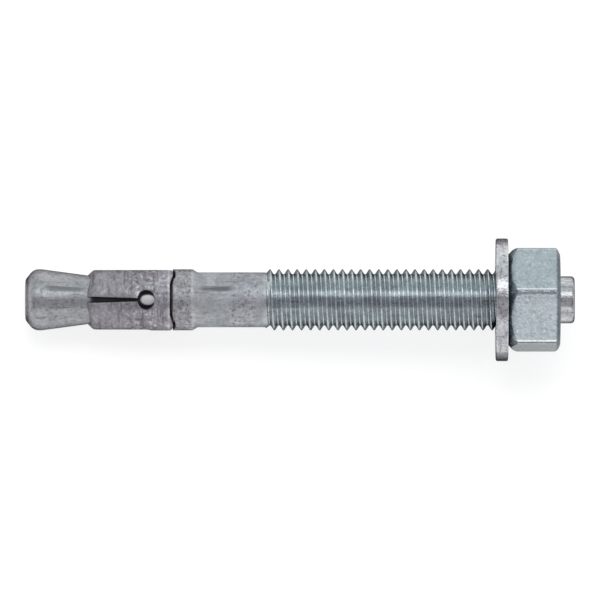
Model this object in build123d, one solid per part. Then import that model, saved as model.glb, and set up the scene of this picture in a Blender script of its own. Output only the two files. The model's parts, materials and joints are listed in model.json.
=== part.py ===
from build123d import *
import math
import os

# Expansion wedge anchor with an M12 thread, lying on a flat surface as it comes to rest.
# Lengths are in millimetres and angles in degrees.
# A station is a distance along the anchor's axis from the face of the mandrel end.

# Stud, from the mandrel end to the driving point
mandrel_face_d = 7.7
mandrel_d = 11.8
nose_length = 1.9
nose_round = 1.0
mandrel_land = 1.3
taper_angle = 7.7
neck_d = 8.5
neck_length = 13.02
collar_d = 11.8
collar_length = 3.83
collar_chamfer = 1.0
collar_round = 0.3
shank_d = 10.6
shank_length = 12.9
thread_d = 11.8
thread_length = 57.0
runout_length = 1.0
thread_chamfer = 1.0
point_d = 9.1
point_length = 2.8
point_round = 0.7

# Lobes on the collar's front edge, one behind each slot of the sleeve
lobe_count = 3
valley_width = 5.6
valley_floor_width = 1.6
valley_depth = 0.55

# Expansion sleeve, folded from strip
sleeve_d = 11.5
sleeve_length = 15.57
sleeve_gap = 0.5
neck_clearance = 0.1
cone_clearance = 0.08
mouth_lip = 0.12
mouth_chamfer = 0.9
mouth_round = 0.5
slot_mouth_width = 1.2
slot_root_width = 0.5
keyhole_d = 3.6
keyhole_setback = 4.57
seam_width = 0.3

# Raised pads on the sleeve, one on each finger
pad_height = 0.18
pad_length = 4.5
pad_ramp = 1.0
pad_width = 6.4
pad_corner = 2.2
pad_turn = 45

# Washer
washer_d = 23.7
washer_clearance = 0.6
washer_thickness = 2.4
washer_chamfer = 0.3

# Hex nut
nut_flats = 18.8
nut_height = 10.0
nut_face_d = 17.5
nut_inner_angle = 42
nut_outer_angle = 25
nut_thread_clearance = 0.05
countersink_reach = 0.55
countersink_angle = 60
nut_corner_turn = 8.45
nut_washer_gap = 0.05

# Stations along the stud
taper_slope = math.tan(math.radians(taper_angle))
land_start = nose_length
taper_start = land_start + mandrel_land
neck_start = taper_start + (mandrel_d - neck_d) / 2 / taper_slope
collar_front = neck_start + neck_length
collar_back = collar_front + collar_length
shank_start = collar_back + collar_chamfer
thread_start = shank_start + shank_length
thread_end = thread_start + thread_length
stud_end = thread_end + point_length

# Stations of the pieces that the stud carries
sleeve_back = collar_front - sleeve_gap
sleeve_mouth = sleeve_back - sleeve_length
tongue_end = sleeve_back + valley_depth
keyhole_centre = sleeve_back - keyhole_setback
nut_outer = thread_end
nut_inner = nut_outer - nut_height
washer_outer = nut_inner - nut_washer_gap
washer_inner = washer_outer - washer_thickness

# Radii of the holes that the thread passes through
crest_r = thread_d / 2
washer_hole_r = crest_r + washer_clearance
nut_bore_r = crest_r + nut_thread_clearance
countersink_r = crest_r + countersink_reach

# Turns about the axis, from 0 facing up towards +Y
slot_turns = [step * 360 / lobe_count for step in range(lobe_count)]
valley_turns = [turn + 180 / lobe_count for turn in slot_turns]
pad_turns = [turn + pad_turn for turn in slot_turns]
seam_turn = slot_turns[-1]

# How far a cutting solid reaches past what it cuts
margin = 1.0


def turned(*corners):
    """A solid turned about the axis, from corners of (station, radius, rounding)."""
    points = [(station, radius) for station, radius, _ in corners]
    rounding = [corner[2] for corner in corners]
    outline = FilletPolyline(*points, radius=rounding, close=True)
    return revolve(make_face(outline), Axis.X, 360)


def around(shape, turn):
    return Rot(-turn, 0, 0) * shape


def raised(outline, turn):
    """A flat outline in stations and widths, raised from the axis outwards."""
    return around(extrude(outline, sleeve_d), turn)


def disc(diameter, start, end):
    return Pos((start + end) / 2, 0, 0) * Rot(0, 90, 0) * Cylinder(diameter / 2, end - start)


def valley(front, turn):
    """The space between two lobes whose tips are at the station front."""
    outline = Polyline(
        (front - margin, -valley_width / 2),
        (front, -valley_width / 2),
        (front + valley_depth, -valley_floor_width / 2),
        (front + valley_depth, valley_floor_width / 2),
        (front, valley_width / 2),
        (front - margin, valley_width / 2),
        close=True,
    )
    return raised(make_face(outline), turn)


def stud():
    """Mandrel, neck, collar, shank, thread and driving point, formed as one piece."""
    body = turned(
        (0, 0, 0),
        (0, mandrel_face_d / 2, 0),
        (land_start, mandrel_d / 2, nose_round),
        (taper_start, mandrel_d / 2, 0),
        (neck_start, neck_d / 2, 0),
        (collar_front, neck_d / 2, 0),
        (collar_front, collar_d / 2, 0),
        (collar_back, collar_d / 2, collar_round),
        (shank_start, shank_d / 2, 0),
        (thread_start - runout_length, shank_d / 2, 0),
        (thread_start, crest_r, 0),
        (thread_end - thread_chamfer, crest_r, 0),
        (thread_end, crest_r - thread_chamfer, 0),
        (thread_end, point_d / 2, 0),
        (stud_end, point_d / 2, point_round),
        (stud_end, 0, 0),
    )
    neck = disc(neck_d, collar_front - margin, collar_back)
    for turn in valley_turns:
        body -= valley(collar_front, turn) - neck
    return body


def sleeve_blank():
    """The sleeve before its slots are cut, with a bore that follows the mandrel's taper."""
    bore_r = neck_d / 2 + neck_clearance
    mouth_r = mandrel_d / 2 - (sleeve_mouth - taper_start) * taper_slope + cone_clearance
    bore_start = sleeve_mouth + (mouth_r - bore_r) / taper_slope
    return turned(
        (sleeve_mouth, mouth_r, 0),
        (sleeve_mouth, mouth_r + mouth_lip, 0),
        (sleeve_mouth + mouth_chamfer, sleeve_d / 2, mouth_round),
        (tongue_end, sleeve_d / 2, 0),
        (tongue_end, bore_r, 0),
        (bore_start, bore_r, 0),
    )


def sleeve_pad(turn):
    """A raised pad whose front end ramps up out of the sleeve."""
    start = sleeve_back - pad_length
    root_r = (sleeve_d + neck_d) / 4
    top_r = sleeve_d / 2 + pad_height
    crown = turned(
        (start, root_r, 0),
        (start, sleeve_d / 2, 0),
        (start + pad_ramp, top_r, 0),
        (sleeve_back, top_r, 0),
        (sleeve_back, root_r, 0),
    )
    middle = sleeve_back - pad_length / 2
    outline = Pos(middle, 0) * RectangleRounded(pad_length, pad_width, pad_corner)
    return crown & raised(outline, turn)


def keyhole():
    """A slot that narrows from the sleeve's mouth to a round hole."""
    sides = Polyline(
        (sleeve_mouth - margin, -slot_mouth_width / 2),
        (sleeve_mouth, -slot_mouth_width / 2),
        (keyhole_centre, -slot_root_width / 2),
        (keyhole_centre, slot_root_width / 2),
        (sleeve_mouth, slot_mouth_width / 2),
        (sleeve_mouth - margin, slot_mouth_width / 2),
        close=True,
    )
    return make_face(sides) + Pos(keyhole_centre, 0) * Circle(keyhole_d / 2)


def expansion_sleeve():
    body = sleeve_blank()
    for turn in pad_turns:
        body += sleeve_pad(turn)
    behind = disc(2 * sleeve_d, sleeve_back, tongue_end + margin)
    for turn in valley_turns:
        behind -= valley(sleeve_back, turn)
    body -= behind
    for turn in slot_turns:
        body -= raised(keyhole(), turn)
    seam_length = tongue_end + margin - keyhole_centre
    seam = Pos(keyhole_centre + seam_length / 2, 0) * Rectangle(seam_length, seam_width)
    return body - raised(seam, seam_turn)


def washer():
    rim_r = washer_d / 2
    return turned(
        (washer_inner, washer_hole_r, 0),
        (washer_inner, rim_r - washer_chamfer, 0),
        (washer_inner + washer_chamfer, rim_r, 0),
        (washer_outer - washer_chamfer, rim_r, 0),
        (washer_outer, rim_r - washer_chamfer, 0),
        (washer_outer, washer_hole_r, 0),
    )


def hex_nut():
    """A hexagon with its corners chamfered at both ends and a countersunk bore."""
    flats = Plane.YZ * RegularPolygon(nut_flats / 2, 6, major_radius=False, rotation=90)
    hexagon = Pos(nut_inner, 0, 0) * extrude(flats, nut_height)
    reach = nut_flats / math.sqrt(3) + margin
    inner_rise = (reach - nut_face_d / 2) * math.tan(math.radians(nut_inner_angle))
    outer_rise = (reach - nut_face_d / 2) * math.tan(math.radians(nut_outer_angle))
    chamfers = turned(
        (nut_inner, 0, 0),
        (nut_inner, nut_face_d / 2, 0),
        (nut_inner + inner_rise, reach, 0),
        (nut_outer - outer_rise, reach, 0),
        (nut_outer, nut_face_d / 2, 0),
        (nut_outer, 0, 0),
    )
    sink = (countersink_r - nut_bore_r) / math.tan(math.radians(countersink_angle))
    bore = turned(
        (nut_inner - margin, 0, 0),
        (nut_inner - margin, countersink_r, 0),
        (nut_inner, countersink_r, 0),
        (nut_inner + sink, nut_bore_r, 0),
        (nut_outer - sink, nut_bore_r, 0),
        (nut_outer, countersink_r, 0),
        (nut_outer + margin, countersink_r, 0),
        (nut_outer + margin, 0, 0),
    )
    return around(hexagon & chamfers, nut_corner_turn) - bore


def resting_tilt():
    """The angle at which the washer's rim and the mandrel's rim both touch the surface."""
    nose_angle = math.atan2((mandrel_d - mandrel_face_d) / 2, nose_length)
    nose_station = land_start + nose_round * math.tan(nose_angle / 2)
    apart = washer_inner + washer_chamfer - nose_station
    drop = washer_d / 2 - (mandrel_d / 2 - nose_round)
    lean = -math.asin(nose_round / math.hypot(apart, drop))
    return math.degrees(math.atan2(drop, apart) + lean)


def laid_down(pieces):
    """The pieces as they lie, with the middle of their box's underside at the origin."""
    tilt = resting_tilt()
    leaning = {name: Rot(0, -tilt, 0) * piece for name, piece in pieces.items()}
    box = Compound(list(leaning.values())).bounding_box()
    across, lift = -box.center().X, -box.min.Z
    print(f"axis rises {tilt:.5f} degrees towards +X")
    print(f"station 0 of the axis is at x {across:.5f} mm, z {lift:.5f} mm")
    return {name: Pos(across, 0, lift) * piece for name, piece in leaning.items()}


anchor = laid_down(
    {
        "stud": stud(),
        "expansion_sleeve": expansion_sleeve(),
        "washer": washer(),
        "hex_nut": hex_nut(),
    }
)

os.makedirs("parts", exist_ok=True)
for name, piece in anchor.items():
    export_step(piece, f"parts/{name}.step")
    print(name, "volume", round(piece.volume, 1))
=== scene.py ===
import json
import math
import bpy
import bmesh
import numpy as np
from mathutils import Matrix, Vector
from mathutils.geometry import delaunay_2d_cdt


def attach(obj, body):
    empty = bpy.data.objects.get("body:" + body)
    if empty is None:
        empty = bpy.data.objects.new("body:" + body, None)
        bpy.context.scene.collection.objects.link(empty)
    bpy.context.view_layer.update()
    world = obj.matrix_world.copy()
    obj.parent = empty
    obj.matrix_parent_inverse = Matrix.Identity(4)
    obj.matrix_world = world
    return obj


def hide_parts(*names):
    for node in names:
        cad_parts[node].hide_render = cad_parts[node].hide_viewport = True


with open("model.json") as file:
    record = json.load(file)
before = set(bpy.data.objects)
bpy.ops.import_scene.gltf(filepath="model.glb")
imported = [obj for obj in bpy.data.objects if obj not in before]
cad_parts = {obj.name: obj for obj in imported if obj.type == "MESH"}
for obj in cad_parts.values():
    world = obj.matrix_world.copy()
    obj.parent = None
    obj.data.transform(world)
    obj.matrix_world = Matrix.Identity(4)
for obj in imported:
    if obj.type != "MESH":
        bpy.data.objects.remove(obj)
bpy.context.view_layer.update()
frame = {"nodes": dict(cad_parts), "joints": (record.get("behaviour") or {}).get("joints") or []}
print("frame loaded")

mm = 0.001  # the anchor's lengths are in millimetres, along and about its own axis

# The axis is read from the joints, and station 0 is the face of the mandrel's end
joints = {joint["name"]: joint for joint in frame["joints"]}
towardsNut = -Vector(joints["washer_slide"]["axis"]).normalized()
acrossAxis = Vector((0, 1, 0))
upFromAxis = towardsNut.cross(acrossAxis)
onAxis = Vector(joints["nut_turn"]["pos_m"])


def reachAlong(node):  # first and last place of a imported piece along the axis, in metres from onAxis
    along = [(vertex.co - onAxis).dot(towardsNut) for vertex in frame["nodes"][node].data.vertices]
    return min(along), max(along)


studStart = reachAlong("stud")[0]
axisStart = onAxis + towardsNut * studStart
turned = Matrix((towardsNut, acrossAxis, upFromAxis)).transposed()
layDown = Matrix.Translation(axisStart) @ turned.to_4x4()


def stationsOf(node):
    return [(place - studStart) / mm for place in reachAlong(node)]


# Shared ways of making a skin

skinWork = {"mergeWithin": 0.0008, "shortestEdge": 0.0004, "sharpAngle": 40}


def smoothStep(value):
    value = min(1.0, max(0.0, value))
    return value * value * (3 - 2 * value)


def roundCorners(corners, steps=4):  # (station, radius, rounding) to a list of (station, radius)
    points = []
    for i, (station, radius, rounding) in enumerate(corners):
        if rounding == 0:
            points.append((station, radius))
            continue
        here = Vector((station, radius))
        back = (Vector(corners[i - 1][:2]) - here).normalized()
        ahead = (Vector(corners[(i + 1) % len(corners)][:2]) - here).normalized()
        half = back.angle(ahead) / 2
        middle = here + (back + ahead).normalized() * rounding / math.sin(half)
        first = here + back * rounding / math.tan(half) - middle
        last = here + ahead * rounding / math.tan(half) - middle
        for step in range(steps + 1):
            spoke = first.lerp(last, step / steps).normalized() * rounding
            points.append(tuple(middle + spoke))
    return points


def aroundAxis(station, radius, turn):  # turn 0 faces up, and a quarter turn faces +Y
    return layDown @ (Vector((station, radius * math.sin(turn), radius * math.cos(turn))) * mm)


def finishSkin(name, points, faces, cutFaces=range(0)):
    mesh = bpy.data.meshes.new(name)
    mesh.from_pydata([tuple(point) for point in points], [], faces)
    for face in cutFaces:  # these take the piece's second material, on the sleeve the painted shade of its cut walls
        mesh.polygons[face].material_index = 1
    work = bmesh.new()
    work.from_mesh(mesh)
    bmesh.ops.remove_doubles(work, verts=work.verts, dist=skinWork["mergeWithin"] * mm)
    bmesh.ops.dissolve_degenerate(work, dist=skinWork["shortestEdge"] * mm, edges=work.edges)
    bmesh.ops.recalc_face_normals(work, faces=work.faces)
    work.to_mesh(mesh)
    work.free()
    mesh.shade_smooth()
    mesh.set_sharp_from_angle(angle=math.radians(skinWork["sharpAngle"]))
    piece = bpy.data.objects.new(name, mesh)
    bpy.context.scene.collection.objects.link(piece)
    print(name, len(mesh.polygons), "faces")
    return piece


def spunSkin(name, turns, columns, closed=False):  # a column of (station, radius) for each turn
    height = len(columns[0])
    points = []
    for turn, column in zip(turns, columns):
        points += [aroundAxis(station, radius, turn) for station, radius in column]
    faces = []
    for i in range(len(turns) - 1):
        here, there = i * height, (i + 1) * height
        for k in range(height if closed else height - 1):
            above = (k + 1) % height
            faces.append((here + k, there + k, there + above, here + above))
    return finishSkin(name, points, faces)


def evenTurns(count):  # the last turn falls on the first and is merged with it
    return [2 * math.pi * i / count for i in range(count + 1)]


# Rolled thread, right-handed

thread = {
    "pitch": 1.75,
    "crestRadius": 5.9,
    "rootRadius": 4.95,
    "crestAt": 47.17,  # station of a crest on the side that faces +Y
    # distance from a crest's middle and depth there, as shares of half the pitch and of the depth
    "form": [(0, 0), (0.1, 0.012), (0.165, 0.05), (0.22, 0.13), (0.75, 0.87), (0.86, 0.965)],
}


def threadLine(turn, start, end):  # (station, share of the depth) along one side of the thread
    pitch = thread["pitch"]
    rise = [(offset * pitch / 2, depth) for offset, depth in thread["form"]]
    fall = [(pitch - offset, depth) for offset, depth in rise[:0:-1]]
    crest = thread["crestAt"] - pitch * (turn / (2 * math.pi) - 0.25)
    first = math.floor((start - thread["crestAt"]) / pitch) - 1
    last = math.ceil((end - thread["crestAt"]) / pitch) + 1
    line = []
    for number in range(first, last + 1):
        for offset, depth in rise + [(pitch / 2, 1)] + fall:
            station = crest + number * pitch + offset
            line.append((min(max(station, start), end), depth))
    return line


# Stud: mandrel, neck, collar, shank, thread and driving point, formed as one piece

studShape = {
    "columns": 150,
    "faceRadius": 3.9, "faceRound": 1.0,
    "mandrelRadius": 5.9, "noseEnd": 1.6, "noseRound": 2.0, "landEnd": 3.2, "landRound": 0.4,
    "neckRadius": 4.25, "neckStart": 15.403, "neckRound": 0.8, "rootRound": 0.12,
    "collarRadius": 5.9, "collarFront": 28.423, "frontRound": 0.16, "collarBack": 32.253, "backRound": 0.35,
    "shankRadius": 5.3, "shankStart": 33.253, "shankRound": 0.5,
    "runoutStart": 46.2, "runoutEnd": 47.1, "threadEnd": 103.153,
    "pointRadius": 4.55, "pointRound": 0.75, "pointFoot": 0.1, "end": 105.953,
    "valleyTurns": [60, 180, 300], "valleyWidth": 5.6, "valleyFloor": 1.6, "valleyDepth": 0.55,
    "valleySoft": 0.4,  # how much of a valley's slope is an S-curve
}


def valleyShare(turn):  # 1 on the floor of a valley in the collar's front edge, 0 on a lobe
    s = studShape
    slope = (s["valleyWidth"] - s["valleyFloor"]) / 2
    share = 0.0
    for middle in s["valleyTurns"]:
        apart = turn - math.radians(middle)
        if math.cos(apart) > 0:
            aside = abs(s["collarRadius"] * math.sin(apart))
            share = max(share, min(1.0, (s["valleyWidth"] / 2 - aside) / slope))
    return share + (smoothStep(share) - share) * s["valleySoft"]


def studColumn(turn):
    s = studShape
    front = s["collarFront"] + s["valleyDepth"] * valleyShare(turn)
    column = roundCorners([
        (0, 0, 0),
        (0, s["faceRadius"], s["faceRound"]),
        (s["noseEnd"], s["mandrelRadius"], s["noseRound"]),
        (s["landEnd"], s["mandrelRadius"], s["landRound"]),
        (s["neckStart"], s["neckRadius"], s["neckRound"]),
        (front, s["neckRadius"], s["rootRound"]),
        (front, s["collarRadius"], s["frontRound"]),
        (s["collarBack"], s["collarRadius"], s["backRound"]),
        (s["shankStart"], s["shankRadius"], s["shankRound"]),
        (s["runoutStart"], s["shankRadius"], 0),
    ])
    depth = thread["crestRadius"] - thread["rootRadius"]
    for station, share in threadLine(turn, s["runoutStart"], s["threadEnd"]):
        radius = thread["crestRadius"] - depth * share
        fade = min(1.0, (station - s["runoutStart"]) / (s["runoutEnd"] - s["runoutStart"]))
        radius = s["shankRadius"] + (radius - s["shankRadius"]) * fade
        # the thread's last turn is cut back at 45 degrees
        column.append((station, min(radius, thread["rootRadius"] + s["threadEnd"] - station)))
    column += roundCorners([
        (s["threadEnd"], s["pointRadius"] + s["pointFoot"], 0),
        (s["threadEnd"], s["pointRadius"], 0),
        (s["end"], s["pointRadius"], s["pointRound"]),
        (s["end"], 0, 0),
    ], steps=6)
    return column


def makeStud():
    turns = evenTurns(studShape["columns"])
    return spunSkin("threadedStud", turns, [studColumn(turn) for turn in turns])


# Expansion sleeve, punched from strip and rolled

sleeveShape = {
    "mouth": 12.353, "back": 27.923, "tongueLength": 0.55,
    "radius": 5.75, "boreRadius": 4.35, "boreStart": 15.255, "mouthRadius": 4.7425,
    "lip": 0.12, "mouthChamfer": 0.9, "chamferReach": 1.4, "chamferSoft": 0.134, "chamferLift": 0.006,
    "mouthReach": 0.1, "mouthWave": 0.3, "waveLength": 5.0,
    "slotTurns": [0, 120], "seamTurns": [-120, 240],
    "slotMouth": 1.25, "slotRoot": 0.62, "keyholeAlong": 1.66, "keyholeAcross": 1.95, "keyholeAt": 23.353,
    "seamWidth": 0.3, "seamCorner": 0.3,
    "tongueTurns": [-60, 60, 180], "tongueWidth": 5.6, "tongueTip": 1.6, "tongueCorner": 0.25,
    "fingerCorner": 0.3, "smallCorner": 0.16, "edgeRound": 0.13,
    "edgeShare": 0.45,  # the most of the wall that an edge's rounding takes
    "padTurns": [-75, 45, 165], "padHeight": 0.18, "padLength": 4.5, "padWidth": 6.4,
    "padCorner": 2.2, "padRamp": 1.0, "padEdge": 0.35,
    "spacing": 0.3, "innerCoarser": 3,
    "gridClear": 0.55,  # how far the grid keeps off the edge, as a share of its spacing
}


def sheetPlace(station, aside, turn):  # a place on the unrolled strip, from the middle line of a feature
    radius = sleeveShape["radius"]
    return (station, radius * (math.radians(turn) + math.asin(aside / radius)))


def keyholeSide(turn, side):  # one side of a slot, from the mouth to the keyhole's far end
    s = sleeveShape
    reach = math.acos(s["slotRoot"] / 2 / s["keyholeAcross"])
    slotEnd = s["keyholeAt"] - s["keyholeAlong"] * math.sin(reach)
    spots = [
        (*sheetPlace(s["mouth"], side * s["slotMouth"] / 2, turn), s["fingerCorner"]),
        (*sheetPlace(slotEnd, side * s["slotRoot"] / 2, turn), s["smallCorner"]),
    ]
    steps = 22
    for step in range(1, steps + 1):
        angle = (math.pi / 2 + reach) * (1 - step / steps)
        station = s["keyholeAt"] + s["keyholeAlong"] * math.cos(angle)
        spots.append((*sheetPlace(station, side * s["keyholeAcross"] * math.sin(angle), turn), 0))
    return spots


def stripSeam(turn, side):  # half a slot and the seam behind it, at one end of the strip
    s = sleeveShape
    halfSeam = s["seamWidth"] / 2
    spots = keyholeSide(turn, side)
    middle = spots[-1][1]
    seamStart = s["keyholeAt"] + s["keyholeAlong"] * math.sqrt(1 - (halfSeam / s["keyholeAcross"]) ** 2)
    kept = [spot for spot in spots if spot[0] < seamStart or abs(spot[1] - middle) > halfSeam]
    kept.append((*sheetPlace(seamStart, side * halfSeam, turn), 0))
    kept.append((*sheetPlace(s["back"], side * halfSeam, turn), s["seamCorner"]))
    return kept


def sleeveOutline():
    s = sleeveShape
    outline = stripSeam(s["seamTurns"][0], 1)[::-1]
    for turn in s["slotTurns"]:
        outline += keyholeSide(turn, -1)
        outline += keyholeSide(turn, 1)[-2::-1]
    outline += stripSeam(s["seamTurns"][1], -1)
    for turn in s["tongueTurns"][::-1]:
        for aside, along in ((1, 0), (1, 1), (-1, 1), (-1, 0)):
            width = s["tongueTip"] if along else s["tongueWidth"]
            spot = sheetPlace(s["back"] + along * s["tongueLength"], aside * width / 2, turn)
            outline.append((*spot, s["tongueCorner"]))
    return outline


def denser(points, spacing):  # no step along a closed line is longer than the spacing
    line = []
    for i, point in enumerate(points):
        here, there = Vector(point), Vector(points[(i + 1) % len(points)])
        count = max(1, math.ceil((there - here).length / spacing))
        line += [here.lerp(there, step / count) for step in range(count)]
    return line


def movedIn(line, distance):  # a closed line moved towards its inside
    moved = []
    for i, point in enumerate(line):
        before = (point - line[i - 1]).normalized()
        after = (line[(i + 1) % len(line)] - point).normalized()
        inward = Vector((before.y + after.y, -before.x - after.x)).normalized()
        widen = max(0.5, inward.dot(Vector((after.y, -after.x))))  # a sharp corner moves twice as far at most
        moved.append(point + inward * distance / widen)
    return moved


def padRise(station, turn):  # how far the raised pads stand up here
    s = sleeveShape
    start = s["back"] - s["padLength"]
    rise = 0.0
    for pad in s["padTurns"]:
        apart = turn - math.radians(pad)
        if math.cos(apart) <= 0:
            continue
        aside = abs(s["radius"] * math.sin(apart))
        ahead = max(0.0, start + s["padCorner"] - station)
        beside = max(0.0, aside - s["padWidth"] / 2 + s["padCorner"])
        edge = smoothStep((s["padCorner"] - math.hypot(ahead, beside)) / s["padEdge"])
        rise += s["padHeight"] * edge * smoothStep((station - start) / s["padRamp"])
    return rise


def sleeveOuter(station, arc):
    s = sleeveShape
    along = station - s["mouth"]
    radius = s["radius"]
    if along < s["chamferReach"]:  # the chamfer runs into the cylinder through a soft corner
        lip = s["mouthRadius"] + s["lip"]
        gap = s["radius"] - lip - along * (s["radius"] - lip) / s["mouthChamfer"]
        radius -= (gap + math.hypot(gap, s["chamferSoft"])) / 2 - s["chamferLift"]
    return radius + padRise(station, arc / s["radius"])


def wavedStation(station, arc):  # the mouth reaches forward beside the slots and back between them
    s = sleeveShape
    wave = s["mouthReach"] + s["mouthWave"] * math.cos(len(s["padTurns"]) * arc / s["radius"])
    return station - wave * (1 - smoothStep((station - s["mouth"]) / s["waveLength"]))


def sleeveInner(station):
    s = sleeveShape
    share = min(1.0, (station - s["mouth"]) / (s["boreStart"] - s["mouth"]))
    return s["mouthRadius"] + (s["boreRadius"] - s["mouthRadius"]) * share


def insideLine(spots, line):  # which of the spots lie inside a closed line
    x, y = spots[:, 0], spots[:, 1]
    inside = np.zeros(len(spots), bool)
    for i, (x1, y1) in enumerate(line):
        x0, y0 = line[i - 1]
        if y0 == y1:
            continue
        crosses = (y0 > y) != (y1 > y)
        inside ^= crosses & (x < (x1 - x0) * (y - y0) / (y1 - y0) + x0)
    return inside


def fillSheet(line, spacing):  # triangles inside a closed line on the strip
    edge = np.array([tuple(point) for point in line])
    low, high = edge.min(0), edge.max(0)
    grid = np.array([
        (low[0] + spacing * (i + 0.5), low[1] + spacing * (j + (i % 2) / 2))
        for i in range(int((high[0] - low[0]) / spacing) + 1)
        for j in range(int((high[1] - low[1]) / spacing) + 1)
    ])
    grid = grid[insideLine(grid, edge)]
    nearest = np.full(len(grid), np.inf)
    for place in edge:
        nearest = np.minimum(nearest, np.hypot(*(grid - place).T))
    grid = grid[nearest > spacing * sleeveShape["gridClear"]]
    spots = [Vector(place) for place in edge] + [Vector(place) for place in grid]
    keepInside, mergeWithin = 1, 1e-6
    filled = delaunay_2d_cdt(spots, [], [list(range(len(edge)))], keepInside, mergeWithin)
    return [tuple(place) for place in filled[0]], [tuple(face) for face in filled[2]]


def makeSleeve():
    s = sleeveShape
    line = denser(roundCorners(sleeveOutline(), steps=5), s["spacing"])
    points, faces = [], []

    def addRow(row, drop=0, inside=False):  # the drop is down from the outer skin
        start = len(points)
        for station, arc in row:
            place = wavedStation(station, arc)
            inner, outer = sleeveInner(place), sleeveOuter(station, arc)
            radius = inner if inside else outer - min(drop, s["edgeShare"] * (outer - inner))
            points.append(aroundAxis(place, radius, arc / s["radius"]))
        return start

    edgeSteps = 4
    rows = [addRow(line, inside=True)]
    for step in range(edgeSteps + 1):
        angle = math.pi / 2 * step / edgeSteps
        row = movedIn(line, s["edgeRound"] * (1 - math.cos(angle)))
        rows.append(addRow(row, s["edgeRound"] * (1 - math.sin(angle))))
    count = len(line)
    for low, high in zip(rows, rows[1:]):
        for i in range(count):
            k = (i + 1) % count
            faces.append((low + i, low + k, high + k, high + i))
    sheets = ((row, s["spacing"], False), (line, s["innerCoarser"] * s["spacing"], True))
    for edge, spacing, inside in sheets:
        spots, triangles = fillSheet(edge, spacing)
        start = addRow(spots, inside=inside)
        faces += [tuple(start + corner for corner in face) for face in triangles]
    return finishSkin("expansionSleeve", points, faces, cutFaces=range(count))


# Washer, stamped from sheet

washerShape = {
    "columns": 180, "radius": 11.85, "holeRadius": 6.5,
    "rolledEdge": 0.38, "cutEdge": 0.28, "holeEdge": 0.2,
}


def makeWasher():
    s = washerShape
    inner, outer = stationsOf("washer")
    column = roundCorners([
        (inner, s["holeRadius"], s["holeEdge"]),
        (inner, s["radius"], s["rolledEdge"]),
        (outer, s["radius"], s["cutEdge"]),
        (outer, s["holeRadius"], s["holeEdge"]),
    ])
    turns = evenTurns(s["columns"])
    return spunSkin("flatWasher", turns, [column] * len(turns), closed=True)


# Hex nut

nutShape = {
    "halfFlats": 9.4, "cornerRound": 1.1, "cornerTurn": 8.45,
    "faceRadius": 8.75, "innerSlope": 42, "outerSlope": 25, "edgeRound": 0.14,
    "boreRadius": 5.06, "threadClearance": 0.09, "sinkRadius": 6.45, "sinkSlope": 60,
    "cornerOffsets": [0.4, 0.8, 1.2, 1.6, 2.1, 2.8, 4.0, 6.0, 8.5, 11.5, 15, 18.5, 22, 26],
}


def nutTurns():  # the turns crowd at the six corners
    near = nutShape["cornerOffsets"]
    turns = []
    for corner in range(6):
        offsets = [0] + near + [30] + [60 - offset for offset in near[::-1]]
        turns += [corner * 60 + offset for offset in offsets]
    turns.append(360)
    return [math.radians(turn + nutShape["cornerTurn"]) for turn in turns]


def hexRadius(turn):  # from the axis to a hexagon's side, with rounded corners
    s = nutShape
    aside = (turn - math.radians(s["cornerTurn"]) + math.pi / 6) % (math.pi / 3) - math.pi / 6
    flat = s["halfFlats"] / math.cos(math.pi / 6 - abs(aside))
    centre = (s["halfFlats"] - s["cornerRound"]) / math.cos(math.pi / 6)
    across = centre * math.sin(aside)
    if abs(across) >= s["cornerRound"] * math.sin(math.pi / 6):
        return flat
    return min(flat, centre * math.cos(aside) + math.sqrt(s["cornerRound"] ** 2 - across ** 2))


def nutColumn(turn, inner, outer):
    s = nutShape
    side = hexRadius(turn)
    innerRise = (side - s["faceRadius"]) * math.tan(math.radians(s["innerSlope"]))
    outerRise = (side - s["faceRadius"]) * math.tan(math.radians(s["outerSlope"]))
    column = roundCorners([
        (inner, s["sinkRadius"], 0),
        (inner, s["faceRadius"], s["edgeRound"]),
        (inner + innerRise, side, s["edgeRound"]),
        (outer - outerRise, side, s["edgeRound"]),
        (outer, s["faceRadius"], s["edgeRound"]),
        (outer, s["sinkRadius"], 0),
    ])
    depth = thread["crestRadius"] - thread["rootRadius"]
    slope = math.tan(math.radians(s["sinkSlope"]))
    for station, share in threadLine(turn, inner, outer)[::-1]:
        radius = max(thread["crestRadius"] - depth * share + s["threadClearance"], s["boreRadius"])
        edge = min(station - inner, outer - station)
        column.append((station, max(radius, s["sinkRadius"] - edge * slope)))
    return column


def makeNut():
    inner, outer = stationsOf("hex_nut")
    turns = nutTurns()
    return spunSkin("hexNut", turns, [nutColumn(turn, inner, outer) for turn in turns], closed=True)
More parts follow.
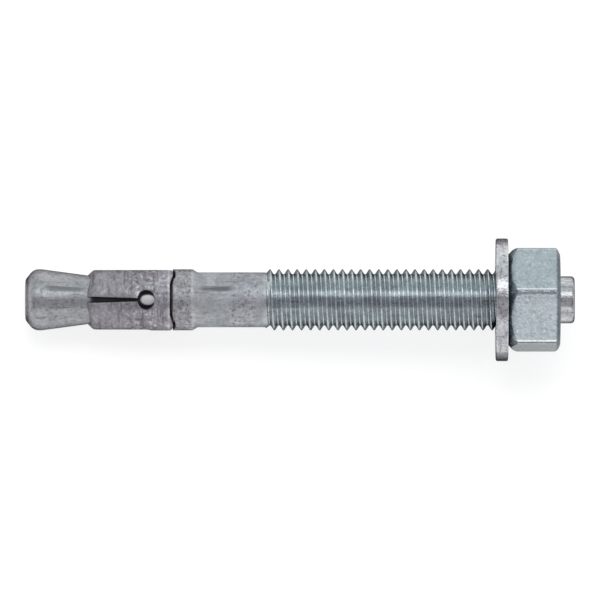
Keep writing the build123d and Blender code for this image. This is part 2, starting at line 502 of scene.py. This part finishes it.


# Finishes

# Each finish runs in clouds between two colours, with dark specks and streaks and bright glints.
# Cloud, speck, grain, dimple and streak are sizes of noise, in waves for each millimetre.
# A zone is a station along the stud, the finish's tint there, how much more matt it is and how uneven. Some
# zones' tints are painted shade or painted highlights, marked where they stand.
steelLook = {
    "stud_steel": {
        "colour": (0.47, 0.475, 0.49), "tint": (0.385, 0.385, 0.405), "cloud": 0.35,
        "roughness": (0.16, 0.3), "edgeTint": 0.12,
        "speck": 1.7, "specks": 0.45, "glints": 0.2, "glint": (0.7, 0.7, 0.72),
        "grain": 2.6, "grainDepth": 0.012, "dimple": 0.9, "dimpleDepth": 0.03,
        "streak": 2.2, "streakAlong": (0.1, 1, 1), "streakTurn": 0,
        "streakDepth": 0.014, "streakShade": 0.6,
        "zones": [
            (0, (0.85, 0.85, 0.86), 0.2, 0.7), (0.02, (0.85, 0.85, 0.86), 0.2, 0.7),
            # painted shade: a dark rim round the edge of the mandrel's end face, from 0.06 to 0.35
            (0.06, (0.14, 0.14, 0.15), 0.15, 1), (0.35, (0.28, 0.28, 0.29), 0.15, 1),
            (0.7, (0.84, 0.83, 0.84), 0.15, 1.3), (3.2, (0.97, 0.97, 0.97), 0.17, 1.5),
            (11.4, (0.92, 0.92, 0.93), 0.17, 1.6), (12.4, (0.9, 0.9, 0.9), 0.17, 1.3),
            # painted shade: the neck under the sleeve, from 12.9 to 28.2, is nearly black where the sleeve
            # keeps light off it
            (12.9, (0.14, 0.14, 0.14), 0.25, 1), (28.2, (0.12, 0.12, 0.12), 0.25, 1),
            (28.6, (0.93, 0.91, 0.92), 0.28, 2.8), (31.9, (0.93, 0.91, 0.92), 0.28, 2.8),
            # painted highlight: the collar's rounded back edge, from 32.1 to 32.5, is lighter
            (32.1, (1.3, 1.3, 1.3), 0.2, 2), (32.5, (1.25, 1.26, 1.25), 0.2, 1),
            (33.2, (1.1, 1.11, 1.1), 0.3, 1), (34.4, (1.17, 1.2, 1.19), 0.42, 0.9),
            (39.0, (1.17, 1.2, 1.19), 0.42, 0.9), (40.2, (1.06, 1.07, 1.09), 0.3, 2.3),
            (44.0, (1.06, 1.07, 1.09), 0.3, 2.3), (45.7, (1.05, 1.07, 1.07), 0.3, 1),
            # painted light and a teal tone: the thread's tint is raised above 1 to lift the flanks its
            # grooves shade
            (46.8, (1.24, 1.34, 1.33), 0, 0.7), (102.4, (1.24, 1.34, 1.33), 0, 0.7),
            (103.3, (1.3, 1.3, 1.28), -0.06, 1.3), (105.4, (1.24, 1.24, 1.22), -0.06, 1.3),
            # painted shade: the rounded end of the driving point darkens to 0.6
            (105.9, (0.6, 0.6, 0.6), 0, 1),
        ],
    },
    "sleeve_steel": {
        "colour": (0.392, 0.378, 0.402), "tint": (0.31, 0.295, 0.32), "cloud": 0.5,
        "roughness": (0.46, 0.6), "edgeTint": 0.12,
        "speck": 1.5, "specks": 0.55, "glints": 0.35, "glint": (0.8, 0.79, 0.81),
        "grain": 2.2, "grainDepth": 0.03, "dimple": 1.2, "dimpleDepth": 0.06,
        "streak": 1.6, "streakAlong": (1, 0.12, 0.12), "streakTurn": 0,
        "streakDepth": 0.05, "streakShade": 0.8,
        "zones": [
            (0, (1, 1, 1), 0, 0.6), (19.0, (1, 1, 1), 0, 0.8),
            (21.5, (0.97, 0.95, 0.97), -0.06, 1.9), (24.8, (0.97, 0.95, 0.97), -0.04, 1.9),
            (25.8, (1.12, 1.1, 1.12), -0.02, 1.2), (27.5, (1.12, 1.1, 1.12), -0.02, 1.2),
            # painted highlight: the sleeve's back edge, from 27.64 to 27.85, is 1.5 times brighter
            (27.64, (1.5, 1.48, 1.5), -0.1, 1), (27.85, (1.5, 1.48, 1.5), -0.1, 1),
            (28.0, (1, 1, 1), -0.04, 1),
        ],
    },
    "washer_steel": {
        "colour": (0.64, 0.65, 0.67), "tint": (0.5, 0.495, 0.52), "cloud": 0.4,
        "roughness": (0.1, 0.22), "edgeTint": 0.1,
        "speck": 1.6, "specks": 0.95, "glints": 0.5, "glint": (0.8, 0.81, 0.82),
        "grain": 2.2, "grainDepth": 0.03, "dimple": 1.0, "dimpleDepth": 0.09,
        "streak": 1.4, "streakAlong": (1, 0.2, 0.2), "streakTurn": 0,
        "streakDepth": 0.03, "streakShade": 0.8,
        # painted highlight: past 92.85 the washer's outer edge is 1.4 times brighter
        "zones": [(0, (1, 1, 1), 0, 1), (92.7, (1, 1, 1), 0, 1), (92.85, (1.4, 1.4, 1.4), 0, 1)],
    },
    "nut_steel": {
        "colour": (0.51, 0.565, 0.585), "tint": (0.45, 0.505, 0.53), "cloud": 0.3,
        "roughness": (0.08, 0.18), "edgeTint": 0.5,
        "speck": 1.4, "specks": 0.45, "glints": 0.42, "glint": (0.76, 0.8, 0.82),
        "grain": 2.0, "grainDepth": 0.02, "dimple": 0.8, "dimpleDepth": 0.08,
        "streak": 4.0, "streakAlong": (0.12, 1, 1), "streakTurn": 48,
        "streakDepth": 0.035, "streakShade": 0.65,
        "zones": [
            # painted shade: the nut's chamfer beside the washer, up to 93.6, is about half as bright, running
            # out by 94.7
            (0, (0.52, 0.53, 0.57), 0, 1.4), (93.6, (0.52, 0.53, 0.57), 0, 1.4), (94.7, (1, 1, 1), 0, 1),
            # painted shade: the nut's outer chamfer, from 102.55 to 103.05, is about a third as bright
            (102.3, (1, 1, 1), 0, 1), (102.55, (0.32, 0.33, 0.36), 0.1, 1),
            (103.05, (0.36, 0.37, 0.4), 0.1, 1), (103.12, (0.9, 0.9, 0.92), 0.05, 1.2),
        ],
    },
}
# Shared by the four: how dark the specks and streaks are, and the most that specks and glints cover
shared = {"darkShare": 0.55, "mostSpeck": 0.9, "mostGlint": 0.7, "sheenFiner": 1.3}
# Detail and roughness of each noise
noiseGrade = {
    "cloud": (5, 0.55), "speck": (3, 0.6), "streak": (3, 0.6), "dimple": (4, 0.6), "grain": (4, 0.6),
    "sheen": (5, 0.65), "tear": (4, 0.6),
}
# Where a kind of mark starts and where it is full, on a noise that runs from 0 to 1
markLimits = {
    "clouds": (0.36, 0.64), "specks": (0.46, 0.34), "glints": (0.54, 0.66), "streaks": (0.52, 0.7),
    "sheen": (0.32, 0.7), "cornerBreak": (0.38, 0.52), "broken": (0.3, 0.55),
}
# A colour ramp holds values from 0 to 1, so a zone's values are brought into that range and back
zoneRange = {"mostTint": 2.0, "matterShift": 0.5, "mostTexture": 5.0}
# Painted shade: the walls left by the punch at the strip's edges are nearly black
cutLook = {"colour": (0.05, 0.048, 0.055), "lighter": 1.8, "roughness": 0.5, "tear": 3.5, "tearDepth": 0.05}
# Painted highlight on the neck, where light falls on it through each keyhole
neckHighlight = {
    "colour": (0.80, 0.79, 0.81),
    "spotAt": 23.66, "spotAlong": 1.44, "spotAside": 1.02, "spotEdge": 0.22,
}
# Dark lines along the stud, darker in colour and sunk a little in the bump, at a turn from facing up towards
# +Y
darkLines = [
    {"turn": 24.2, "from": 3.0, "to": 12.4, "halfWidth": 7.5, "shade": 1.0, "depth": 0.04},
    {"turn": -16, "from": 5.4, "to": 9.4, "halfWidth": 2.2, "shade": 0.7, "depth": 0.02},
    {"turn": 24.2, "from": 32.8, "to": 40.6, "halfWidth": 7.5, "shade": 0.95, "depth": 0.04},
]
# Shares of a line's half width and of its length where it runs out, and its strength where it is broken
darkLineEdge = {"side": 0.6, "end": 0.25, "least": 0.5}
# Painted highlight and painted shade along the nut's corners: a bright band on one side of each corner, and a
# dark band beside it
nutCornerBands = [
    {"pastCorner": 3.1, "halfWidth": 1.15, "soft": 0.6, "colour": (0.9, 0.93, 0.94), "least": 0.65},
    {"pastCorner": 0.7, "halfWidth": 1.5, "soft": 0.8, "colour": (0.2, 0.22, 0.23), "least": 0.25},
]
nutCornerBandsOut = (10.2, 10.35)  # radii where the bands start and are full
# Painted shade on the washer's rim, on its lower side towards -Y
washerUnderShade = {"turn": -77, "halfWidth": 21, "soft": 5.25, "shade": 0.75}


def addNode(tree, kind, inputs, **settings):
    node = tree.nodes.new("ShaderNode" + kind)
    for name, value in settings.items():
        setattr(node, name, value)
    for name, value in inputs.items():
        if isinstance(value, bpy.types.NodeSocket):
            tree.links.new(value, node.inputs[name])
        else:
            node.inputs[name].default_value = value
    return node


def calc(tree, operation, *values):
    return addNode(tree, "Math", dict(enumerate(values)), operation=operation).outputs[0]


def product(tree, value, *factors):
    for factor in factors:
        value = calc(tree, "MULTIPLY", value, factor)
    return value


def lengthOf(tree, first, second):
    squares = calc(tree, "ADD", product(tree, first, first), product(tree, second, second))
    return calc(tree, "SQRT", squares)


def noiseAt(tree, place, kind, scale, stretch=(1, 1, 1), turn=0):
    if turn:
        spin = {"Vector": place, "Rotation": (0, 0, math.radians(turn))}
        place = addNode(tree, "Mapping", spin).outputs[0]
    stretched = addNode(tree, "Mapping", {"Vector": place, "Scale": stretch}).outputs[0]
    detail, rough = noiseGrade[kind]
    noise = {"Vector": stretched, "Scale": scale, "Detail": detail, "Roughness": rough}
    return addNode(tree, "TexNoise", noise).outputs["Fac"]


def spread(tree, value, low, high, newLow=0.0, newHigh=1.0):  # an S-curve from one range to another
    limits = {"Value": value, "From Min": low, "From Max": high, "To Min": newLow, "To Max": newHigh}
    return addNode(tree, "MapRange", limits, interpolation_type="SMOOTHSTEP").outputs[0]


def mixTints(tree, share, first, second):
    node = addNode(tree, "Mix", {}, data_type="RGBA")
    for name, value in (("Factor_Float", share), ("A_Color", first), ("B_Color", second)):
        socket = next(one for one in node.inputs if one.identifier == name)
        if isinstance(value, bpy.types.NodeSocket):
            tree.links.new(value, socket)
        elif name == "Factor_Float":
            socket.default_value = value
        else:
            socket.default_value = (*value, 1)
    return next(one for one in node.outputs if one.identifier == "Result_Color")


def placeOnAxis(tree):  # (station, across, up) in millimetres
    here = addNode(tree, "TexCoord", {}).outputs["Object"]
    unroll = {"Vector": here, "Location": axisStart, "Rotation": turned.to_euler(), "Scale": (mm, mm, mm)}
    return addNode(tree, "Mapping", unroll, vector_type="TEXTURE").outputs[0]


def alongStud(tree, station, zones, valuesOf):  # values set at stations and run between them
    ramp = addNode(tree, "ValToRGB", {"Fac": calc(tree, "DIVIDE", station, studShape["end"])})
    stops = ramp.color_ramp.elements
    stops.remove(stops[-1])
    for i, zone in enumerate(zones):
        stop = stops[0] if i == 0 else stops.new(1.0)
        stop.position = zone[0] / studShape["end"]
        stop.color = (*valuesOf(*zone[1:]), 1)
    return ramp.outputs[0]


def zoneValues(tree, station, zones):  # tint, added roughness and unevenness at a station
    most, shift = zoneRange["mostTint"], zoneRange["matterShift"]

    def tintShare(tint, matter, texture):
        return [level / most for level in tint]

    def otherShares(tint, matter, texture):
        return matter + shift, texture / zoneRange["mostTexture"], 0

    tint = alongStud(tree, station, zones, tintShare)
    tint = addNode(tree, "VectorMath", {0: tint, "Scale": most}, operation="SCALE").outputs[0]
    others = addNode(tree, "SeparateColor", {0: alongStud(tree, station, zones, otherShares)}).outputs
    matter = calc(tree, "SUBTRACT", others[0], shift)
    return tint, matter, product(tree, others[1], zoneRange["mostTexture"])


def marksIn(tree, noise, kind, low=0.0, high=1.0):  # low where no mark is, high where it is full
    return spread(tree, noise, *markLimits[kind], low, high)


def bandAt(tree, turn, middle, halfWidth, soft):  # 1 within a band of turns, run out to 0 at its edges
    aside = calc(tree, "ABSOLUTE", calc(tree, "SUBTRACT", turn, math.radians(middle)))
    return spread(tree, aside, math.radians(halfWidth), math.radians(halfWidth - soft))


def darkLineBand(tree, station, turn, streaks, line):  # 1 in the middle of a dark line, broken up by the streaks
    side = bandAt(tree, turn, line["turn"], line["halfWidth"], line["halfWidth"] * darkLineEdge["side"])
    run = (line["to"] - line["from"]) * darkLineEdge["end"]
    start = spread(tree, station, line["from"], line["from"] + run)
    end = spread(tree, station, line["to"], line["to"] - run)
    return product(tree, side, marksIn(tree, streaks, "broken", darkLineEdge["least"]), start, end)


def neckHighlightShare(tree, station, turn):  # 1 on the neck under the middle of each keyhole
    third = math.radians(sleeveShape["slotTurns"][1])
    apart = calc(tree, "WRAP", turn, third / 2, -third / 2)
    aside = product(tree, apart, studShape["neckRadius"] / neckHighlight["spotAside"])
    along = calc(tree, "SUBTRACT", station, neckHighlight["spotAt"])
    along = calc(tree, "DIVIDE", along, neckHighlight["spotAlong"])
    edge = neckHighlight["spotEdge"]
    return spread(tree, lengthOf(tree, aside, along), 1 + edge / 2, 1 - edge)


def cornerLightBands(tree, across, up, turn, mottle):  # share and colour of each band of painted highlight and shade
    out = spread(tree, lengthOf(tree, across, up), *nutCornerBandsOut)
    corner = calc(tree, "WRAP", turn, math.pi / 6, -math.pi / 6)
    bands = []
    for lightBand in nutCornerBands:
        middle = nutShape["cornerTurn"] + lightBand["pastCorner"]
        band = bandAt(tree, corner, middle, lightBand["halfWidth"], lightBand["soft"])
        share = product(tree, band, out, marksIn(tree, mottle, "cornerBreak", lightBand["least"]))
        bands.append((share, lightBand["colour"]))
    return bands


def shadedRimShare(tree, turn):  # share of the painted shade at a turn
    rimShade = bandAt(tree, turn, washerUnderShade["turn"], washerUnderShade["halfWidth"], washerUnderShade["soft"])
    return product(tree, rimShade, washerUnderShade["shade"])


def newMaterial(name):
    material = bpy.data.materials.new(name)
    material.use_nodes = True
    material.node_tree.nodes.clear()
    return material, material.node_tree


def platedSteel(name):
    look = steelLook[name]
    material, tree = newMaterial(name)
    place = placeOnAxis(tree)
    station, across, up = addNode(tree, "SeparateXYZ", {0: place}).outputs
    turn = calc(tree, "ARCTAN2", across, up)
    tint, matter, uneven = zoneValues(tree, station, look["zones"])
    clouds = noiseAt(tree, place, "cloud", look["cloud"])
    mottle = noiseAt(tree, place, "speck", look["speck"])
    streaks = noiseAt(tree, place, "streak", look["streak"], look["streakAlong"], look["streakTurn"])
    dimples = noiseAt(tree, place, "dimple", look["dimple"])
    grain = noiseAt(tree, place, "grain", look["grain"])
    sheen = noiseAt(tree, place, "sheen", look["dimple"] * shared["sheenFiner"])
    matt = calc(tree, "ADD", marksIn(tree, sheen, "sheen", *look["roughness"]), matter)

    darker = tuple(channel * shared["darkShare"] for channel in look["tint"])
    colour = mixTints(tree, marksIn(tree, clouds, "clouds"), look["colour"], look["tint"])
    for kind, most, shade in (("specks", "mostSpeck", darker), ("glints", "mostGlint", look["glint"])):
        share = product(tree, marksIn(tree, mottle, kind), look[kind], uneven)
        colour = mixTints(tree, calc(tree, "MINIMUM", share, shared[most]), colour, shade)
    share = product(tree, marksIn(tree, streaks, "streaks"), look["streakShade"])
    colour = mixTints(tree, share, colour, darker)
    colour = addNode(tree, "VectorMath", {0: colour, 1: tint}, operation="MULTIPLY").outputs[0]
    heights = [(dimples, look["dimpleDepth"]), (grain, look["grainDepth"]), (streaks, look["streakDepth"])]

    if name == "stud_steel":
        # dark lines along the stud, darker in colour and sunk a little in the bump
        for line in darkLines:
            band = darkLineBand(tree, station, turn, streaks, line)
            colour = mixTints(tree, product(tree, band, line["shade"]), colour, darker)
            heights.append((band, -line["depth"]))
        # painted highlight on the neck under each keyhole
        colour = mixTints(tree, neckHighlightShare(tree, station, turn), colour, neckHighlight["colour"])
    if name == "washer_steel":
        # painted shade on the washer's rim, on its lower side
        colour = mixTints(tree, shadedRimShare(tree, turn), colour, darker)
    if name == "nut_steel":
        # painted highlight and shade along the nut's corners
        for share, shade in cornerLightBands(tree, across, up, turn, mottle):
            colour = mixTints(tree, share, colour, shade)

    inputs = {"Metallic": 1.0, "Base Color": colour, "Roughness": matt}
    for height, depth in heights:
        bump = {"Height": height, "Distance": product(tree, uneven, depth * mm)}
        if "Normal" in inputs:
            bump["Normal"] = inputs["Normal"]
        inputs["Normal"] = addNode(tree, "Bump", bump).outputs[0]
    inputs["Specular Tint"] = (*[look["edgeTint"]] * 3, 1)
    steel = addNode(tree, "BsdfPrincipled", inputs)
    addNode(tree, "OutputMaterial", {"Surface": steel.outputs[0]})
    return material


def shadedCutWalls():  # walls left by the punch, painted nearly black: painted shade where little light reaches
    material, tree = newMaterial("shadedCutWalls")
    tear = noiseAt(tree, placeOnAxis(tree), "tear", cutLook["tear"])
    lighter = tuple(channel * cutLook["lighter"] for channel in cutLook["colour"])
    colour = mixTints(tree, tear, cutLook["colour"], lighter)
    bump = addNode(tree, "Bump", {"Height": tear, "Distance": cutLook["tearDepth"] * mm}).outputs[0]
    inputs = {"Metallic": 1.0, "Base Color": colour, "Roughness": cutLook["roughness"], "Normal": bump}
    steel = addNode(tree, "BsdfPrincipled", inputs)
    addNode(tree, "OutputMaterial", {"Surface": steel.outputs[0]})
    return material


def dress(piece, node, slotName):
    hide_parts(node)
    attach(piece, node)
    piece.data.materials.append(platedSteel(slotName))


dress(makeStud(), "stud", "stud_steel")
sleeve = makeSleeve()
dress(sleeve, "expansion_sleeve", "sleeve_steel")
# the sleeve's cut walls take the painted shade
sleeve.data.materials.append(shadedCutWalls())
dress(makeWasher(), "washer", "washer_steel")
dress(makeNut(), "hex_nut", "nut_steel")

# Floor and light

studio = {
    # the floor's size and the lamp's size and distance are in metres
    "floorSize": 3.0, "floorColour": (0.36, 0.36, 0.36), "floorLift": 0.74,
    # brightness and tint of the surroundings at angles from straight up, positive towards +Y
    "tent": [
        (-90, 0.76, "plain"), (-60, 0.84, "plain"), (-47, 1.05, "plain"), (-39, 1.0, "plain"),
        (-34, 0.44, "violet"), (16, 0.42, "violet"), (21, 1.75, "plain"), (37, 1.75, "plain"),
        (42, 0.74, "teal"), (65, 0.84, "teal"), (90, 0.92, "teal"),
    ],
    # the same, seen along the anchor towards its two ends
    "endTent": [
        (-110, 0.4, "plain"), (-85, 0.7, "plain"), (-45, 0.8, "plain"), (-36, 0.25, "violet"),
        (16, 0.22, "violet"), (20, 1.3, "plain"), (38, 1.3, "plain"), (46, 0.48, "teal"),
        (85, 0.55, "teal"), (110, 0.75, "teal"),
    ],
    "mostLight": 2.0,  # a colour ramp holds values up to 1, so the tent is stored as shares of this
    "tints": {"plain": (0.985, 1.0, 1.02), "violet": (0.99, 0.99, 1.05), "teal": (0.94, 1.01, 1.03)},
    "endStart": 0.45, "endFull": 0.82, "tipLevel": 0.9, "tipStart": 0.9, "tipFull": 0.985,
    "lampTurn": 35, "lampDistance": 1.2, "lampSize": 0.7, "lampPower": 5.0,
}


def makeFloor():
    material, tree = newMaterial("paleFloor")
    path = addNode(tree, "LightPath", {}).outputs
    seen = calc(tree, "MAXIMUM", path["Is Camera Ray"], path["Is Glossy Ray"])
    seen = calc(tree, "MAXIMUM", seen, path["Is Transmission Ray"])
    matt = addNode(tree, "BsdfDiffuse", {"Color": (*studio["floorColour"], 1)}).outputs[0]
    lift = addNode(tree, "Emission", {"Strength": product(tree, seen, studio["floorLift"])}).outputs[0]
    both = tree.nodes.new("ShaderNodeAddShader")
    tree.links.new(matt, both.inputs[0])
    tree.links.new(lift, both.inputs[1])
    addNode(tree, "OutputMaterial", {"Surface": both.outputs[0]})
    half = studio["floorSize"] / 2
    corners = [(-half, -half, 0), (half, -half, 0), (half, half, 0), (-half, half, 0)]
    mesh = bpy.data.meshes.new("floor")
    mesh.from_pydata(corners, [], [(0, 1, 2, 3)])
    mesh.materials.append(material)
    floor = bpy.data.objects.new("floor", mesh)
    bpy.context.scene.collection.objects.link(floor)


def tentRamp(tree, share, levels):
    ramp = addNode(tree, "ValToRGB", {"Fac": share})
    stops = ramp.color_ramp.elements
    stops.remove(stops[-1])
    for i, (degrees, level, tint) in enumerate(levels):
        stop = stops[0] if i == 0 else stops.new(1.0)
        stop.position = degrees / 360 + 0.5
        stop.color = (*(level / studio["mostLight"] * channel for channel in studio["tints"][tint]), 1)
    return ramp.outputs[0]


def makeTent():
    world = bpy.data.worlds.new("lightTent")
    bpy.context.scene.world = world
    world.use_nodes = True
    tree = world.node_tree
    tree.nodes.clear()
    outward = addNode(tree, "TexCoord", {}).outputs["Generated"]

    def partAlong(direction):
        node = addNode(tree, "VectorMath", {0: outward, 1: direction}, operation="DOT_PRODUCT")
        return node.outputs["Value"]

    angle = calc(tree, "ARCTAN2", partAlong(acrossAxis), partAlong(upFromAxis))
    share = calc(tree, "MULTIPLY_ADD", angle, 0.5 / math.pi, 0.5)
    level, endLevel = (tentRamp(tree, share, studio[name]) for name in ("tent", "endTent"))
    lengthwise = calc(tree, "ABSOLUTE", partAlong(towardsNut))
    endShare = spread(tree, lengthwise, studio["endStart"], studio["endFull"])
    level = mixTints(tree, endShare, level, endLevel)
    tipShare = spread(tree, lengthwise, studio["tipStart"], studio["tipFull"])
    level = mixTints(tree, tipShare, level, [studio["tipLevel"] / studio["mostLight"]] * 3)
    sky = addNode(tree, "Background", {"Color": level, "Strength": studio["mostLight"]}).outputs[0]
    plain = addNode(tree, "Background", {"Color": (1, 1, 1, 1)}).outputs[0]
    seen = addNode(tree, "LightPath", {}).outputs["Is Camera Ray"]
    both = addNode(tree, "MixShader", {0: seen, 1: sky, 2: plain}).outputs[0]
    addNode(tree, "OutputWorld", {"Surface": both})


def makeLamp():  # it draws the soft shadow, and the tent is what the steel mirrors
    lamp = bpy.data.lights.new("softLamp", "AREA")
    lamp.size = studio["lampSize"]
    lamp.energy = studio["lampPower"]
    aim = layDown @ (Vector((studShape["end"] / 2, 0, 0)) * mm)
    turn = math.radians(studio["lampTurn"])
    away = acrossAxis * math.sin(turn) + upFromAxis * math.cos(turn)
    holder = bpy.data.objects.new("softLamp", lamp)
    holder.location = aim + away * studio["lampDistance"]
    holder.rotation_euler = (aim - holder.location).to_track_quat("-Z", "Y").to_euler()
    holder.visible_glossy = False
    bpy.context.scene.collection.objects.link(holder)


makeFloor()
makeTent()
makeLamp()

# Camera, square to the axis

view = {
    "middleStation": 52.98, "middleAcross": -0.04, "widthSeen": 115.76, "sensor": 36.0,
    "distance": 3.0, "farEnd": 20,  # in metres
}


def makeCamera():
    camera = bpy.data.cameras.new("camera")
    camera.sensor_width = view["sensor"]
    camera.lens = view["sensor"] * view["distance"] / (view["widthSeen"] * mm)
    camera.clip_end = view["farEnd"]
    aim = layDown @ (Vector((view["middleStation"], view["middleAcross"], 0)) * mm)
    holder = bpy.data.objects.new("camera", camera)
    holder.matrix_world = Matrix.Translation(aim + upFromAxis * view["distance"]) @ turned.to_4x4()
    bpy.context.scene.collection.objects.link(holder)
    bpy.context.scene.camera = holder


makeCamera()
bpy.context.scene.view_settings.view_transform = "Standard"
print("floor, light and camera set")
